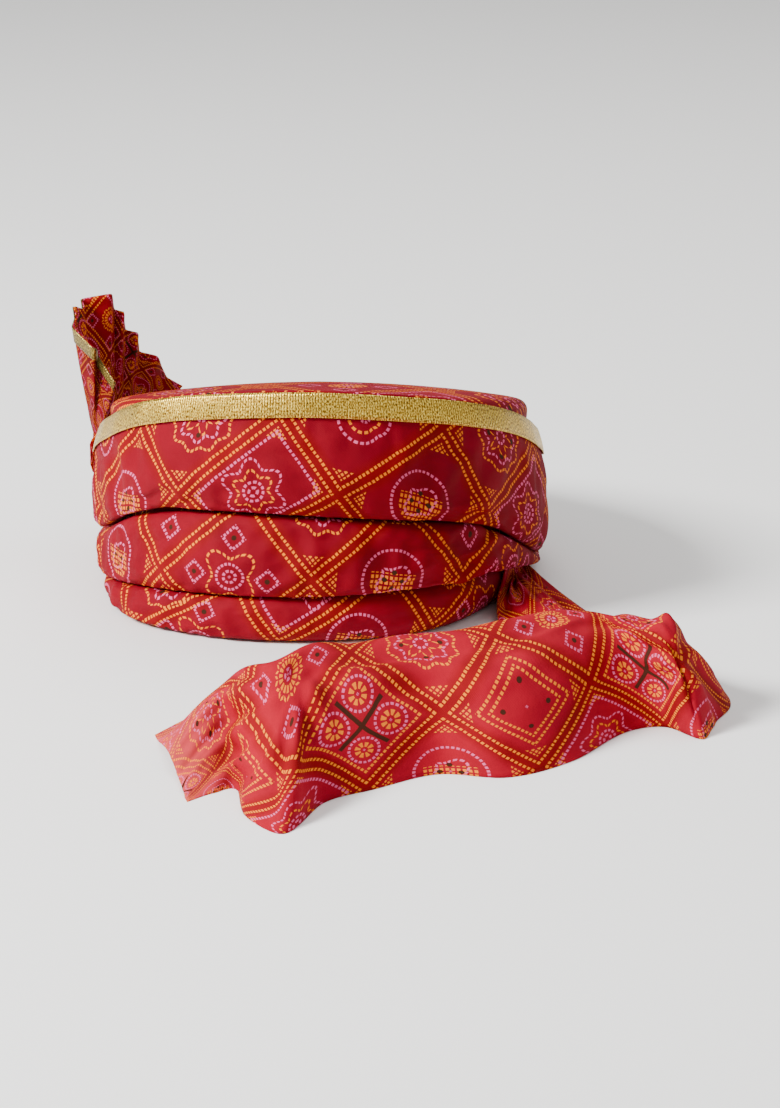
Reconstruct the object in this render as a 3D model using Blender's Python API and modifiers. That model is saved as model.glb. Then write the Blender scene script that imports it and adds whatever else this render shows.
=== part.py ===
# A tied pagri: a padded crown, three passes of printed cloth wound round it, a gold woven
# edging, a pleated fan at the left back and a free tail that lies in front.
# Metres, +Z up, the brow towards -Y. It rests on z = 0, and the origin is below the middle
# of everything.
import math

import bmesh
import bpy
from mathutils import Vector

# Overall form of the wound part, outside the cloth
TURBAN_WIDTH = 0.252
TURBAN_LENGTH = 0.278
BROW_HEIGHT = 0.138
OUTLINE_POWER = 2.15

# The hollow that takes the head
HEAD_WIDTH = 0.158
HEAD_LENGTH = 0.198
HEAD_ROUNDING = 0.014

# The crown: its rim slopes down from brow to nape, its top is a shallow dome, and its wall
# stands back from the turban's outline, further at the base
CROWN_RIM_HEIGHT = 0.1005
CROWN_SLOPE = 0.25
CROWN_DOME = 0.0085
CROWN_RIM_ROUND = 0.009
CROWN_ROOF = 0.004
CROWN_TOP_INSET = 0.0105
CROWN_BASE_INSET = 0.027

# The wound cloth: how far a fold's crease lies behind its bulge, and how far the lowest
# pass stands back
FOLD_DEPTH = 0.010
LOWER_INSET = 0.004

# Clearances: between a piece and its neighbour, and between one pass and the next
PIECE_GAP = 0.0004
FOLD_GAP = 0.0006

# The gold edging of the upper wrap
ZARI_WIDTH = 0.0125
ZARI_THICKNESS = 0.0007

# The pleated fan: its root is a flat strip pinned to the upper wrap's outer side, from below
# the wrap's top edge down to its bulge, and the height is that above the root. The trim lies
# a hem's width below the rim.
FAN_SPREAD = 0.072
FAN_HEIGHT = 0.078
FAN_ROOT_DROP = 0.008
FAN_PLEATS = 7
FAN_PLEAT_DEPTH = 0.011
FAN_CLOTH = 0.0012
FAN_ZARI_WIDTH = 0.010
FAN_ZARI_GAP = 0.0007
FAN_HEM = 0.001

# The tail: its reach from the turban's middle to the right and to the front, its rise, and
# where it leaves under the middle wrap
TAIL_REACH_RIGHT = 0.212
TAIL_REACH_FRONT = 0.402
TAIL_RISE = 0.052
TAIL_CLOTH = 0.0015
TAIL_ROOT_INSET = 0.0092
TAIL_GATHERS = 3
TAIL_GATHER_DEPTH = 0.004

# Mesh fineness
ROUND_STEPS = 48
TAIL_STEPS = (48, 20)
FAN_STEPS_UP = 7

# Heights of the cloth's lines round the turban, as shares of the brow height, and how far
# the two lower passes are drawn in there, as shares of the fold depth.
# Angles are in degrees from the brow, positive towards +X.
# angle, top, upper_fold, lower_fold, middle_in, lower_in
WRAP_LINES = [
    (-150, 0.470, 0.150, 0.070, 0.10, 0.10),
    (-120, 0.510, 0.155, 0.070, 0.05, 0.10),
    (-90, 0.595, 0.190, 0.062, 0.00, 0.40),
    (-75, 0.680, 0.250, 0.066, 0.00, 0.15),
    (-60, 0.780, 0.350, 0.100, 0.00, -0.60),
    (-45, 0.884, 0.442, 0.142, 0.00, -1.00),
    (-25, 0.968, 0.507, 0.178, 0.00, -0.60),
    (0, 1.000, 0.507, 0.196, 0.00, -0.10),
    (25, 0.955, 0.464, 0.203, 0.00, 0.00),
    (45, 0.870, 0.384, 0.195, 0.10, 0.60),
    (60, 0.778, 0.262, 0.155, 0.25, 1.00),
    (75, 0.672, 0.155, 0.095, 0.30, 1.00),
    (90, 0.585, 0.080, 0.045, 0.30, 1.00),
    (105, 0.540, 0.090, 0.045, 0.30, 0.60),
    (120, 0.505, 0.120, 0.058, 0.30, 0.30),
    (150, 0.470, 0.150, 0.070, 0.10, 0.10),
    (180, 0.462, 0.150, 0.070, 0.10, 0.10),
]

# The upper wrap's straight face under its edging: where it starts and ends, as shares of
# the wrap's height, with the inset there as a share of the fold depth
EDGE_FACE_TOP = (0.985, 0.60)
EDGE_FACE_FOOT = (0.680, 0.08)
# The upper wrap's bulge, which the fan's root lies against, as the same shares
FAN_SEAT = (0.340, -0.10)

# A pass of cloth in section, from its top edge down its outer side and back up the crown:
# share of its height, and inset as a share of the fold depth. WALL is the crown's wall, and
# CORNER is the top of that wall, where it is lower.
WALL = "wall"
CORNER = "corner"
# height, inset
UPPER_SECTION = [
    (1.000, 0.72),
    EDGE_FACE_TOP,
    EDGE_FACE_FOOT,
    (0.500, -0.04),
    FAN_SEAT,
    (0.180, -0.08),
    (0.070, 0.10),
    (0.012, 0.34),
    (0.000, 0.60),
    (0.018, 0.90),
    (0.040, WALL),
    (0.500, WALL),
    (0.940, CORNER),
    (0.970, WALL),
]
MIDDLE_SECTION = [
    (1.000, 0.92),
    (0.950, 0.55),
    (0.840, 0.26),
    (0.660, 0.06),
    (0.440, -0.02),
    (0.240, 0.02),
    (0.100, 0.14),
    (0.020, 0.34),
    (0.000, 0.56),
    (0.018, 0.90),
    (0.040, WALL),
    (0.960, WALL),
]
LOWER_SECTION = [
    (1.000, 0.92),
    (0.940, 0.50),
    (0.800, 0.18),
    (0.560, 0.00),
    (0.340, 0.06),
    (0.150, 0.28),
    (0.000, 0.70),
    (0.000, WALL),
    (0.960, WALL),
]

# The crown in section, from the middle of its top, over the rim, down the wall, across the
# base and up the hollow to the middle of its roof. The number is a share of the radius on
# the dome and roof, of a right angle on the rim, and of the height on the walls.
# part, share
CROWN_SECTION = [
    ("dome", 0.00),
    ("dome", 0.30),
    ("dome", 0.58),
    ("dome", 0.82),
    ("dome", 0.97),
    ("rim", 0.35),
    ("rim", 0.70),
    ("rim", 1.00),
    ("wall", 0.55),
    ("wall", 0.00),
    ("hollow", 0.00),
    ("hollow", 0.55),
    ("hollow", 1.00),
    ("roof", 0.93),
    ("roof", 0.62),
    ("roof", 0.30),
    ("roof", 0.00),
]

# Where the fan's root lies, in degrees, from its near end to its far end
FAN_ROOT_ANGLES = (-98, -128)
# The fan's rim, from its near end over its peak to its far end, seen from the middle of its
# root's upper edge: to the right and back as shares of the spread, up as a share of the height
# along, right, back, up
FAN_RIM = [
    (0.00, 0.03, -0.38, 0.50),
    (0.14, -0.08, -0.30, 0.68),
    (0.28, -0.15, -0.08, 0.84),
    (0.40, -0.15, 0.20, 0.95),
    (0.52, -0.09, 0.41, 1.00),
    (0.64, 0.02, 0.52, 0.86),
    (0.76, 0.16, 0.60, 0.62),
    (0.88, 0.30, 0.67, 0.42),
    (1.00, 0.52, 0.76, 0.20),
]
# How quickly the fan flares out from its root: 1 is straight, less is sooner
FAN_FLARE = 0.6
# Share of the way up from the flat root where the pleats reach their full depth
FAN_FULL = 1 - 1 / (FAN_STEPS_UP - 1)
# Share of the fan's cloth, from root to rim, that lies flat against the wrap
FAN_FLAT = 1 / FAN_STEPS_UP

# Where the tail leaves the turban, in degrees, from its foot to its back
TAIL_ROOT_ANGLES = (88, 54)
# Share of the tail's length over which it comes down from there
TAIL_DROP = 0.14
# The tail from its root to its free end. The foot is its outer edge, the back is its edge
# towards the turban. Right and front are shares of the tail's reaches, and the two crests
# across it are shares of its rise.
# along, foot_right, foot_front, back_right, back_front, front_crest, back_crest
TAIL_ROWS = [
    (0.000, 0.552, -0.010, 0.447, 0.222, 0.00, 0.00),
    (0.060, 0.575, 0.035, 0.443, 0.236, 0.02, 0.04),
    (0.130, 0.646, 0.144, 0.434, 0.262, 0.12, 0.20),
    (0.210, 0.750, 0.269, 0.480, 0.318, 0.12, 0.20),
    (0.300, 0.858, 0.378, 0.538, 0.373, 0.22, 0.32),
    (0.390, 0.945, 0.450, 0.557, 0.408, 0.22, 0.42),
    (0.470, 0.986, 0.535, 0.547, 0.428, 0.36, 0.50),
    (0.505, 0.981, 0.580, 0.541, 0.429, 0.38, 0.58),
    (0.540, 0.940, 0.632, 0.533, 0.430, 0.94, 0.82),
    (0.570, 0.900, 0.692, 0.525, 0.430, 0.90, 0.86),
    (0.605, 0.821, 0.646, 0.462, 0.440, 0.78, 0.88),
    (0.640, 0.726, 0.666, 0.425, 0.443, 0.80, 0.92),
    (0.690, 0.594, 0.765, 0.340, 0.448, 0.80, 0.96),
    (0.740, 0.448, 0.821, 0.245, 0.464, 0.78, 0.94),
    (0.790, 0.292, 0.811, 0.151, 0.490, 0.76, 0.92),
    (0.840, 0.151, 0.860, 0.057, 0.515, 0.78, 0.93),
    (0.880, 0.038, 0.905, -0.028, 0.530, 0.74, 0.92),
    (0.910, -0.042, 1.000, -0.094, 0.548, 0.50, 0.84),
    (0.935, -0.127, 0.945, -0.160, 0.560, 0.30, 0.68),
    (0.955, -0.156, 0.861, -0.217, 0.580, 0.20, 0.52),
    (0.975, -0.203, 0.871, -0.274, 0.606, 0.20, 0.44),
    (1.000, -0.259, 0.900, -0.356, 0.675, 0.06, 0.12),
]
# The tail across, from foot to back: share of the way, and how much of each crest it takes
# across, front_crest, back_crest
TAIL_SECTION = [
    (0.00, 0.00, 0.00),
    (0.10, 0.55, 0.00),
    (0.25, 1.00, 0.00),
    (0.36, 0.52, 0.46),
    (0.52, 0.00, 1.00),
    (0.72, 0.00, 0.66),
    (0.88, 0.00, 0.22),
    (1.00, 0.00, 0.00),
]


# A smooth value between the rows of a table, whose first column is the position. A closed
# table starts again after one period.
def between_rows(rows, place, period=None):
    if period:
        before = [(row[0] - period, *row[1:]) for row in rows[-2:]]
        after = [(row[0] + period, *row[1:]) for row in rows[:2]]
        table = [*before, *rows, *after]
    else:
        table = [rows[0], *rows, rows[-1]]
    last = len(table) - 3
    i = next((n for n in range(1, last + 1) if table[n + 1][0] >= place), last)
    before, low, high, after = table[i - 1 : i + 3]
    run = high[0] - low[0]
    share = min(1.0, max(0.0, (place - low[0]) / run))
    found = []
    for column in range(1, len(low)):
        slope_low = slope_at(before, low, high, column) * run
        slope_high = slope_at(low, high, after, column) * run
        found.append(hermite(low[column], high[column], slope_low, slope_high, share))
    return found


# The slope of a column at the middle one of three rows
def slope_at(before, row, after, column):
    run = after[0] - before[0]
    return (after[column] - before[column]) / run


def hermite(low, high, slope_low, slope_high, share):
    square, cube = share**2, share**3
    return (
        low * (2 * cube - 3 * square + 1)
        + slope_low * (cube - 2 * square + share)
        + high * (3 * square - 2 * cube)
        + slope_high * (cube - square)
    )


def mix(low, high, share):
    return low + (high - low) * share


# A point of the turban's outline in plan, moved in by an inset
def outline(angle, inset):
    side, front = math.sin(angle), -math.cos(angle)
    half_width = TURBAN_WIDTH / 2 - inset
    half_length = TURBAN_LENGTH / 2 - inset
    power = OUTLINE_POWER
    reach = (abs(side / half_width) ** power + abs(front / half_length) ** power) ** (-1 / power)
    return side * reach, front * reach


def head_outline(angle):
    side, front = math.sin(angle), -math.cos(angle)
    reach = ((side / (HEAD_WIDTH / 2)) ** 2 + (front / (HEAD_LENGTH / 2)) ** 2) ** -0.5
    return side * reach, front * reach


def wrap_lines(angle):
    degrees = math.degrees(angle)
    top, upper, lower, middle_in, lower_in = between_rows(WRAP_LINES, degrees, period=360)
    heights = [share * BROW_HEIGHT for share in (top, upper, lower)]
    return *heights, middle_in * FOLD_DEPTH, lower_in * FOLD_DEPTH


# Height of the crown's rim over a point in plan, before it is rounded
def rim_height(y):
    return CROWN_RIM_HEIGHT - CROWN_SLOPE * y


def crown_wall_top(angle):
    return rim_height(outline(angle, CROWN_TOP_INSET)[1]) - CROWN_RIM_ROUND


# Inset of the crown's wall at a height: the crown is narrower at its base
def crown_inset(angle, z):
    share = min(1.0, max(0.0, z / crown_wall_top(angle)))
    return mix(CROWN_BASE_INSET, CROWN_TOP_INSET, share)


def crown_point(angle, part, share):
    rim_inset = CROWN_TOP_INSET + CROWN_RIM_ROUND
    if part == "dome":
        x, y = outline(angle, rim_inset)
        level = mix(CROWN_RIM_HEIGHT, rim_height(y), share)
        return x * share, y * share, level + CROWN_DOME * (1 - share**2)
    if part == "rim":
        turn = share * math.pi / 2
        x, y = outline(angle, rim_inset - CROWN_RIM_ROUND * math.sin(turn))
        return x, y, crown_wall_top(angle) + CROWN_RIM_ROUND * math.cos(turn)
    if part == "wall":
        z = crown_wall_top(angle) * share
        x, y = outline(angle, crown_inset(angle, z))
        return x, y, z
    x, y = head_outline(angle)
    roof_edge = rim_height(y) - CROWN_ROOF
    if part == "hollow":
        return x, y, (roof_edge - HEAD_ROUNDING) * share
    level = mix(CROWN_RIM_HEIGHT - CROWN_ROOF, roof_edge, share)
    return x * share, y * share, level + CROWN_DOME * (1 - share**2)


# A point of a pass of cloth: its section is stretched between its two lines, and its inner
# side stays a small gap off the crown
def wrap_point(angle, row, low, high, inset):
    height, fold = row
    z = mix(low, high, height)
    if fold == CORNER:
        z = min(z, crown_wall_top(angle))
    if fold in (WALL, CORNER):
        return *outline(angle, crown_inset(angle, z) - PIECE_GAP), z
    return *outline(angle, inset + fold * FOLD_DEPTH), z


def upper_wrap_point(angle, row):
    top, fold, _, _, _ = wrap_lines(angle)
    return wrap_point(angle, row, fold, top, 0.0)


def middle_wrap_point(angle, row):
    _, high, low, middle_in, _ = wrap_lines(angle)
    return wrap_point(angle, row, low, high - FOLD_GAP, middle_in)


def lower_wrap_point(angle, row):
    _, _, high, _, lower_in = wrap_lines(angle)
    return wrap_point(angle, row, 0.0, high - FOLD_GAP, lower_in + LOWER_INSET)


# The edging lies on the upper wrap's straight face: how far down its width, and how far out
# through its thickness
def zari_point(angle, row):
    down, out = row
    top, fold, _, _, _ = wrap_lines(angle)
    share = EDGE_FACE_TOP[0] - down * ZARI_WIDTH / (top - fold)
    face = (EDGE_FACE_TOP[0] - share) / (EDGE_FACE_TOP[0] - EDGE_FACE_FOOT[0])
    inset = mix(EDGE_FACE_TOP[1], EDGE_FACE_FOOT[1], face) * FOLD_DEPTH
    x, y = outline(angle, inset - PIECE_GAP - out * ZARI_THICKNESS)
    return x, y, mix(fold, top, share)


# The fan's root against the wrap's side: a height of 0 is its lower edge, 1 its upper edge
def fan_root(along, height):
    angle = math.radians(mix(*FAN_ROOT_ANGLES, along))
    top, fold, _, _, _ = wrap_lines(angle)
    seat_height, seat_fold = FAN_SEAT
    z = mix(mix(fold, top, seat_height), top - FAN_ROOT_DROP, height)
    inset = seat_fold * FOLD_DEPTH - PIECE_GAP - FAN_CLOTH / 2
    return Vector((*outline(angle, inset), z))


def fan_rim(along):
    right, back, up = between_rows(FAN_RIM, along)
    rise = Vector((right * FAN_SPREAD, back * FAN_SPREAD, up * FAN_HEIGHT))
    return fan_root(0.5, 1.0) + rise


# The fan's middle surface, before it is pleated
def fan_middle(along, up):
    if up <= FAN_FLAT:
        return fan_root(along, up / FAN_FLAT)
    free = (up - FAN_FLAT) / (1 - FAN_FLAT)
    root, rim = fan_root(along, 1.0), fan_rim(along)
    x, y, _ = root.lerp(rim, free**FAN_FLARE)
    return Vector((x, y, mix(root.z, rim.z, free)))


# The pleats: a zigzag through the middle surface, flat at the root and full at the rim. A
# clearance shifts it out, measured square to the pleats' faces.
def fan_point(along, up, clearance=0.0):
    free = max(0.0, up - FAN_FLAT) / (1 - FAN_FLAT)
    half_pleat = 0.5 / FAN_PLEATS
    first, last = max(0.0, along - half_pleat), min(1.0, along + half_pleat)
    run = (fan_middle(last, up) - fan_middle(first, up)) * half_pleat / (last - first)
    outward = Vector((-run.y, run.x, 0.0)).normalized()
    crease = round(along / half_pleat)
    side = 1 if crease % 2 else -1
    depth = FAN_PLEAT_DEPTH * min(1.0, free / FAN_FULL) ** 2
    width = max(run.length, FAN_CLOTH)
    mitre = math.hypot(1.0, depth / width)
    return fan_middle(along, up) + outward * (side * depth / 2 + clearance * mitre)


def fan_cloth_point(along, up, side):
    return fan_point(along, up, side * FAN_CLOTH / 2)


def fan_zari_point(along, down, side):
    up = 1 - (1 - FAN_FLAT) * (FAN_HEM + down * FAN_ZARI_WIDTH) / FAN_HEIGHT
    inner_side = FAN_CLOTH / 2 + FAN_ZARI_GAP
    return fan_point(along, up, inner_side + (side + 1) * ZARI_THICKNESS / 2)


# The tail's root hangs just under the middle wrap's fold
def tail_root(across):
    angle = math.radians(mix(*TAIL_ROOT_ANGLES, across))
    z = wrap_lines(angle)[2] - FOLD_GAP
    return Vector((*outline(angle, TAIL_ROOT_INSET), z))


# The underside of the tail, from root to free end and from foot to back
def tail_point(along, across):
    foot_right, foot_front, back_right, back_front, front_crest, back_crest = between_rows(
        TAIL_ROWS, along
    )
    foot = Vector((foot_right * TAIL_REACH_RIGHT, -foot_front * TAIL_REACH_FRONT, 0.0))
    back = Vector((back_right * TAIL_REACH_RIGHT, -back_front * TAIL_REACH_FRONT, 0.0))
    front_share, back_share = between_rows(TAIL_SECTION, across)
    point = foot.lerp(back, across)
    point.z = max(0.0, front_crest * front_share + back_crest * back_share) * TAIL_RISE
    if along < TAIL_DROP:
        dropped = along / TAIL_DROP
        point = tail_root(across).lerp(point, dropped)
        outward = Vector((foot.y - back.y, back.x - foot.x, 0.0)).normalized()
        wave = math.sin(2 * math.pi * TAIL_GATHERS * across)
        point -= outward * wave * TAIL_GATHER_DEPTH * dropped * (1 - dropped)
    return point


# A named piece in the collection, placed with the rest
def new_object(name, mesh, material):
    thing = bpy.data.objects.new(name, mesh)
    mesh.materials.append(material)
    mesh.shade_smooth()
    collection.objects.link(thing)
    thing.parent = middle
    return thing


# A mesh made from a closed form, with its faces pointing out
def outward_mesh(name, form):
    if form.calc_volume(signed=True) < 0:
        bmesh.ops.reverse_faces(form, faces=form.faces)
    mesh = bpy.data.meshes.new(name)
    form.to_mesh(mesh)
    form.free()
    return mesh


# A ring of cloth: a torus whose sections are drawn onto a table's outline
def ring(name, section, place, material):
    bpy.ops.mesh.primitive_torus_add(major_segments=ROUND_STEPS, minor_segments=len(section))
    start = bpy.context.object
    form = bmesh.new()
    form.from_mesh(start.data)
    for n, vert in enumerate(form.verts):
        angle = 2 * math.pi * (n // len(section)) / ROUND_STEPS - math.pi
        vert.co = place(angle, section[n % len(section)])
    bpy.data.objects.remove(start)
    return new_object(name, outward_mesh(name, form), material)


# The crown: a sphere whose rings are drawn onto the crown's section
def make_crown(material):
    form = bmesh.new()
    rings = len(CROWN_SECTION) - 1
    bmesh.ops.create_uvsphere(form, u_segments=ROUND_STEPS, v_segments=rings, radius=1.0)
    for vert in form.verts:
        ring_number = round(math.acos(max(-1.0, min(1.0, vert.co.z))) / math.pi * rings)
        angle = math.atan2(vert.co.x, -vert.co.y)
        vert.co = crown_point(angle, *CROWN_SECTION[ring_number])
    return new_object("crown", outward_mesh("crown", form), material)


# A pleated sheet: two grids drawn onto its two faces and bridged round their edges
def pleated_sheet(name, steps, place, material):
    form = bmesh.new()
    for side in (-1, 1):
        grid = bmesh.ops.create_grid(form, x_segments=steps[0], y_segments=steps[1], size=0.5)
        for vert in grid["verts"]:
            vert.co = place(vert.co.x + 0.5, vert.co.y + 0.5, side)
    bmesh.ops.bridge_loops(form, edges=[edge for edge in form.edges if edge.is_boundary])
    bmesh.ops.recalc_face_normals(form, faces=form.faces)
    return new_object(name, outward_mesh(name, form), material)


# A lying sheet: a grid drawn onto its underside and given its thickness upwards
def sheet(name, steps, place, thickness, material):
    form = bmesh.new()
    bmesh.ops.create_grid(form, x_segments=steps[0], y_segments=steps[1], size=0.5)
    for vert in form.verts:
        vert.co = place(vert.co.x + 0.5, vert.co.y + 0.5)
    mesh = bpy.data.meshes.new(name)
    form.to_mesh(mesh)
    form.free()
    thing = new_object(name, mesh, material)
    wall = thing.modifiers.new("cloth", "SOLIDIFY")
    wall.thickness = thickness
    wall.offset = -1.0
    wall.use_even_offset = True
    return thing


def make_material(name, colour, roughness, metallic=0.0):
    material = bpy.data.materials.new(name)
    material.use_nodes = True
    shader = material.node_tree.nodes["Principled BSDF"]
    shader.inputs["Base Color"].default_value = (*colour, 1.0)
    shader.inputs["Roughness"].default_value = roughness
    shader.inputs["Metallic"].default_value = metallic
    return material


def printed_cloth(name, colour):
    return make_material(name, colour, 0.72)


def gold_weave(name):
    return make_material(name, (0.60, 0.44, 0.17), 0.40, 0.8)


def make_wraps():
    upper_cloth = printed_cloth("upper_cloth", (0.50, 0.009, 0.020))
    middle_cloth = printed_cloth("middle_cloth", (0.47, 0.009, 0.018))
    lower_cloth = printed_cloth("lower_cloth", (0.44, 0.008, 0.017))
    ring("upper_wrap", UPPER_SECTION, upper_wrap_point, upper_cloth)
    ring("middle_wrap", MIDDLE_SECTION, middle_wrap_point, middle_cloth)
    ring("lower_wrap", LOWER_SECTION, lower_wrap_point, lower_cloth)


def make_zari_edge():
    section = [(0.0, 1.0), (1.0, 1.0), (1.0, 0.0), (0.0, 0.0)]
    ring("zari_edge", section, zari_point, gold_weave("edge_gold"))


def make_fan():
    creases = 2 * FAN_PLEATS
    cloth = printed_cloth("fan_cloth", (0.36, 0.006, 0.016))
    pleated_sheet("turra_fan", (creases, FAN_STEPS_UP), fan_cloth_point, cloth)
    pleated_sheet("turra_zari", (creases, 1), fan_zari_point, gold_weave("fan_gold"))


def make_tail():
    cloth = printed_cloth("tail_cloth", (0.56, 0.014, 0.032))
    sheet("tail", TAIL_STEPS, tail_point, TAIL_CLOTH, cloth)


# Moves everything so that the origin is below the middle of the whole
def centre_on_origin():
    bpy.context.view_layer.update()
    graph = bpy.context.evaluated_depsgraph_get()
    points = [
        thing.matrix_world @ vert.co
        for thing in collection.objects
        if thing.type == "MESH"
        for vert in thing.evaluated_get(graph).data.vertices
    ]
    for axis in range(2):
        values = [point[axis] for point in points]
        middle.location[axis] = -(min(values) + max(values)) / 2


for old in list(bpy.data.objects):
    bpy.data.objects.remove(old)
collection = bpy.data.collections.new("pagri")
bpy.context.scene.collection.children.link(collection)
middle = bpy.data.objects.new("pagri_middle", None)
collection.objects.link(middle)

make_crown(printed_cloth("crown_cloth", (0.40, 0.007, 0.018)))
make_wraps()
make_zari_edge()
make_fan()
make_tail()
centre_on_origin()
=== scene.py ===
import math

import bpy
import numpy as np
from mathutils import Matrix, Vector, noise


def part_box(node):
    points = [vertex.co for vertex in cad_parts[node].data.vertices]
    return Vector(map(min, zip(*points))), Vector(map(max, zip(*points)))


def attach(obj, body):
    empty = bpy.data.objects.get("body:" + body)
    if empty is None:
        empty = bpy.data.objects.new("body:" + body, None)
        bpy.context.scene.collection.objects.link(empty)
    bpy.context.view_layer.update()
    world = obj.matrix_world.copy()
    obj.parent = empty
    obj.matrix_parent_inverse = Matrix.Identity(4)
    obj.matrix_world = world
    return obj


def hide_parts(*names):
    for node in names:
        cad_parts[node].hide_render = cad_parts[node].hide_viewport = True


# A ready-tied pagri of crimson tie-dye cloth: wound wraps on a crown, a gold edging,
# a pleated fan at the left back and a free tail lying in front. Metres, +Z up.
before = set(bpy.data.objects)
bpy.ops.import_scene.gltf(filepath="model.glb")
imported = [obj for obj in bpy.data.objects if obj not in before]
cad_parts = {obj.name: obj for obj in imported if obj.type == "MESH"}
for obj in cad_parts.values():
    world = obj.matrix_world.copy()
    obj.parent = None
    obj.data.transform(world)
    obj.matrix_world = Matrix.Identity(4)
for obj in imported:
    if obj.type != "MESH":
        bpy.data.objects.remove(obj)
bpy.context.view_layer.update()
mm = 0.001

# The turban's upright axis, and its outline in plan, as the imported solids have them
crownLow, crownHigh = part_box("crown")
wrapLow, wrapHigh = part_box("upper_wrap")
turban = {
    "x": (crownLow.x + crownHigh.x) / 2,
    "y": (crownLow.y + crownHigh.y) / 2,
    "halfWidth": (wrapHigh.x - wrapLow.x) / 2,
    "halfLength": (wrapHigh.y - wrapLow.y) / 2,
    "power": 2.15,  # of the superellipse that the outline follows
}


def outlineRadius(angle):
    side, front = np.abs(np.sin(angle)), np.abs(np.cos(angle))
    reach = (side / turban["halfWidth"]) ** turban["power"]
    reach += (front / turban["halfLength"]) ** turban["power"]
    return reach ** (-1 / turban["power"])


# Length of cloth round the outline, from the brow to an angle on either side
arcSteps = np.linspace(-math.pi, math.pi, 721)
arcRadius = outlineRadius(arcSteps)
arcX, arcY = arcRadius * np.sin(arcSteps), -arcRadius * np.cos(arcSteps)
arcLength = np.concatenate([[0], np.cumsum(np.hypot(np.diff(arcX), np.diff(arcY)))])
girth = arcLength[-1]
arcLength -= girth / 2


def lengthRound(angle):
    return np.interp(angle, arcSteps, arcLength)


def deselectAll():
    bpy.ops.object.select_all(action="DESELECT")


def makeActive(piece):
    deselectAll()
    piece.select_set(True)
    bpy.context.view_layer.objects.active = piece


def applyModifier(piece, kind, **settings):
    makeActive(piece)
    modifier = piece.modifiers.new(kind.lower(), kind)
    for key, value in settings.items():
        setattr(modifier, key, value)
    bpy.ops.object.modifier_apply(modifier=modifier.name)


def newPiece(name, mesh):
    piece = bpy.data.objects.new(name, mesh)
    bpy.context.scene.collection.objects.link(piece)
    return piece


joining = {"merge": 0.02 * mm, "faceTurn": math.radians(60), "shapeTurn": math.radians(80)}


# A soft piece starts as a copy of its solid, merged and made quads, then rounded
def softCopy(node, name, levels):
    piece = newPiece(name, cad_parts[node].data.copy())
    makeActive(piece)
    bpy.ops.object.mode_set(mode="EDIT")
    bpy.ops.mesh.select_all(action="SELECT")
    bpy.ops.mesh.remove_doubles(threshold=joining["merge"])
    bpy.ops.mesh.customdata_custom_splitnormals_clear()
    bpy.ops.mesh.tris_convert_to_quads(
        face_threshold=joining["faceTurn"], shape_threshold=joining["shapeTurn"]
    )
    bpy.ops.object.mode_set(mode="OBJECT")
    applyModifier(piece, "SUBSURF", levels=levels, render_levels=levels)
    piece.data.shade_smooth()
    return piece


def readPoints(piece):
    points = np.zeros(len(piece.data.vertices) * 3)
    piece.data.vertices.foreach_get("co", points)
    return points.reshape(-1, 3)


def readNormals(piece):
    normals = np.zeros(len(piece.data.vertices) * 3)
    piece.data.vertex_normals.foreach_get("vector", normals)
    return normals.reshape(-1, 3)


def writePoints(piece, points):
    piece.data.vertices.foreach_set("co", np.ascontiguousarray(points).ravel())
    piece.data.update()


# The cloth's own coordinates, in metres, from one pair for each point
def writeClothMap(piece, along, across, period=None):
    mesh = piece.data
    layer = mesh.uv_layers.new(name="cloth")
    corners = np.zeros(len(mesh.loops), dtype=int)
    mesh.loops.foreach_get("vertex_index", corners)
    u, v = along[corners], across[corners]
    if period:
        starts = np.zeros(len(mesh.polygons), dtype=int)
        mesh.polygons.foreach_get("loop_start", starts)
        sizes = np.diff(np.append(starts, len(corners)))
        highest = np.maximum.reduceat(u, starts)
        wraps = highest - np.minimum.reduceat(u, starts) > period / 2
        crossing = np.repeat(wraps, sizes)
        u = np.where(crossing & (u < 0), u + period, u)
    layer.data.foreach_set("uv", np.column_stack([u, v]).ravel())


# Each seed reads the noise in a place of its own
def noiseAt(points, scale, seed):
    shift = Vector((seed * 7.3, seed * 3.1, seed * 5.7))
    return np.array([noise.noise(Vector(p * scale) + shift) for p in points])


def smoothStep(low, high, value):
    share = np.clip((value - low) / (high - low), 0, 1)
    return share * share * (3 - 2 * share)


# A short cloth simulation: slack in the cloth buckles where nothing holds it, and no point
# may move further than the cap. Held goes from 0, free, to 1, in ten steps.
def relaxCloth(piece, held, cloth):
    before, normals = readPoints(piece), readNormals(piece)
    group = piece.vertex_groups.new(name="held")
    for step in range(11):
        mine = np.nonzero(np.round(held * 10) == step)[0]
        if step and len(mine):
            group.add(mine.tolist(), step / 10, "REPLACE")
    makeActive(piece)
    modifier = piece.modifiers.new("cloth", "CLOTH")
    settings = modifier.settings
    settings.quality = cloth["quality"]
    settings.mass = cloth["mass"]
    settings.tension_stiffness = settings.compression_stiffness = cloth["stretch"]
    settings.shear_stiffness = cloth["shear"]
    settings.bending_stiffness = cloth["bending"]
    settings.air_damping = cloth["damping"]
    settings.vertex_group_mass = "held"
    settings.use_pressure = True
    settings.uniform_pressure_force = cloth["pressure"]
    settings.shrink_min = -cloth["slack"]
    settings.effector_weights.gravity = 0
    modifier.point_cache.frame_start, modifier.point_cache.frame_end = 1, cloth["frames"]
    for frameNumber in range(1, cloth["frames"] + 1):
        bpy.context.scene.frame_set(frameNumber)
    bpy.ops.object.modifier_apply(modifier=modifier.name)
    bpy.context.scene.frame_set(1)
    moved = readPoints(piece) - before
    moved = normals * (moved * normals).sum(axis=1)[:, None]  # sideways it would drag the print
    far = np.maximum(np.linalg.norm(moved, axis=1), 1e-9)
    cap = cloth["cap"] * mm
    print("cloth moved", piece.name, "mean", far.mean(), "most", far.max())
    writePoints(piece, before + moved * (cap * np.tanh(far / cap) / far)[:, None])
    piece.vertex_groups.clear()


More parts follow.
